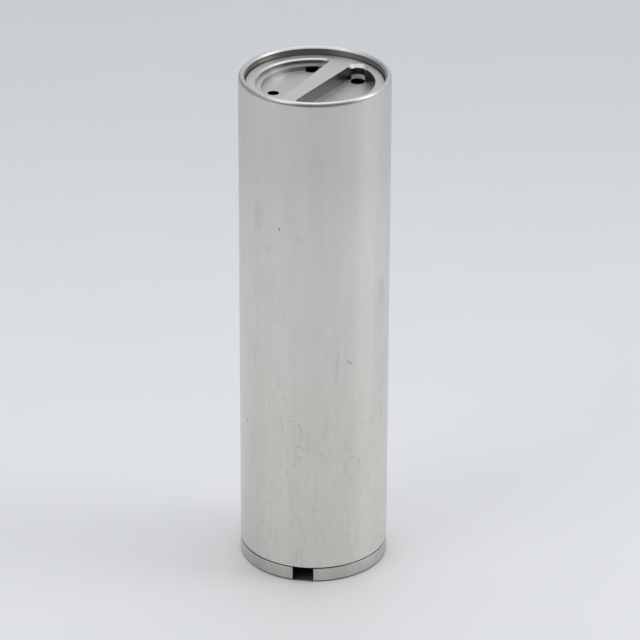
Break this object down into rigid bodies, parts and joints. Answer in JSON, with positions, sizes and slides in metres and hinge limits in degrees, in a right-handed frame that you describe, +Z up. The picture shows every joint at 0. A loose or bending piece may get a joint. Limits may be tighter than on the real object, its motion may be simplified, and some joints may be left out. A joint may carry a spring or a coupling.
{
  "type": "cryptex",
  "caption": "Plain steel cylinder cryptex: a recessed dial with finger pockets turns hidden gated wheels that free a capsule, which pulls out of the base.",
  "frame": {"origin": "centre of the base, on the surface that it stands on", "axes": "+Z up along the cylinder; -Y towards the side with the base slot, which is 8.2 degrees to the left of it"},
  "size_m": [0.04, 0.04, 0.1408],
  "materials": {
    "brushed_steel": "fine-brushed stainless steel, satin",
    "turned_steel": "turned steel",
    "spring_steel": "polished spring steel",
    "brass": "turned brass",
    "black_acetal": "matt black acetal",
    "black_rubber": "matt black rubber"
  },
  "bodies": {
    "sleeve": {"outer_sleeve": "brushed_steel", "bearing_plate": "turned_steel", "plate_snap_ring": "spring_steel", "wheel_post": "turned_steel", "post_circlip": "spring_steel", "guide_key": "turned_steel", "wheel_spacer_1": "brass", "wheel_spacer_2": "brass", "wheel_spacer_3": "brass", "dial_detent_spring": "spring_steel"},
    "dial": {"dial_disc": "brushed_steel", "dial_spindle": "turned_steel", "drive_cam": "brass", "cam_nut": "turned_steel", "drive_pin": "turned_steel"},
    "dial_detent": {"dial_detent_ball": "spring_steel"},
    "wheel_1": {"tumbler_wheel_1": "brass", "fly_pin_1": "turned_steel"},
    "wheel_2": {"tumbler_wheel_2": "brass", "fly_pin_2": "turned_steel"},
    "wheel_3": {"tumbler_wheel_3": "brass", "fly_pin_3": "turned_steel"},
    "wheel_4": {"tumbler_wheel_4": "brass", "fly_pin_4": "turned_steel"},
    "capsule": {"capsule_body": "brushed_steel", "capsule_head": "brushed_steel", "head_screw_1": "turned_steel", "head_screw_2": "turned_steel", "head_screw_3": "turned_steel", "fence_bar": "turned_steel", "fence_screw_1": "turned_steel", "fence_screw_2": "turned_steel", "seal_ring": "black_rubber", "foot_plate": "black_acetal", "foot_screw_1": "turned_steel", "foot_screw_2": "turned_steel", "foot_screw_3": "turned_steel", "base_detent_spring": "spring_steel"},
    "base": {"base_ring": "turned_steel"},
    "base_detent": {"base_detent_ball": "spring_steel"}
  },
  "joints": [
    {"name": "dial_turn", "type": "hinge", "parent": "sleeve", "child": "dial", "pos_m": [0, 0, 0.1386], "axis": [0, 0, 1], "continuous": true},
    {"name": "wheel_1_turn", "type": "hinge", "parent": "sleeve", "child": "wheel_1", "pos_m": [0, 0, 0.1239], "axis": [0, 0, 1], "continuous": true},
    {"name": "wheel_2_turn", "type": "hinge", "parent": "sleeve", "child": "wheel_2", "pos_m": [0, 0, 0.1183], "axis": [0, 0, 1], "continuous": true},
    {"name": "wheel_3_turn", "type": "hinge", "parent": "sleeve", "child": "wheel_3", "pos_m": [0, 0, 0.1127], "axis": [0, 0, 1], "continuous": true},
    {"name": "wheel_4_turn", "type": "hinge", "parent": "sleeve", "child": "wheel_4", "pos_m": [0, 0, 0.1071], "axis": [0, 0, 1], "continuous": true},
    {"name": "dial_detent_press", "type": "slide", "parent": "sleeve", "child": "dial_detent", "axis": [0, 0, -1], "range_m": [0, 0.0005], "stiffness_N_per_m": 400, "deforming": ["dial_detent_spring"]},
    {"name": "capsule_slide", "type": "slide", "parent": "sleeve", "child": "capsule", "axis": [0, 0, -1], "range_m": [0, 0.125]},
    {"name": "base_turn", "type": "hinge", "parent": "capsule", "child": "base", "pos_m": [0, 0, 0.002], "axis": [0, 0, 1], "range_deg": [0, 50]},
    {"name": "base_detent_press", "type": "slide", "parent": "capsule", "child": "base_detent", "axis": [0, 0, 1], "range_m": [0, 0.0005], "stiffness_N_per_m": 400, "deforming": ["base_detent_spring"]}
  ],
  "couplings": [
    {"joint": "wheel_1_turn", "follows": "dial_turn", "ratio": 1},
    {"joint": "wheel_2_turn", "follows": "dial_turn", "ratio": 1},
    {"joint": "wheel_3_turn", "follows": "dial_turn", "ratio": 1},
    {"joint": "wheel_4_turn", "follows": "dial_turn", "ratio": 1}
  ]
}
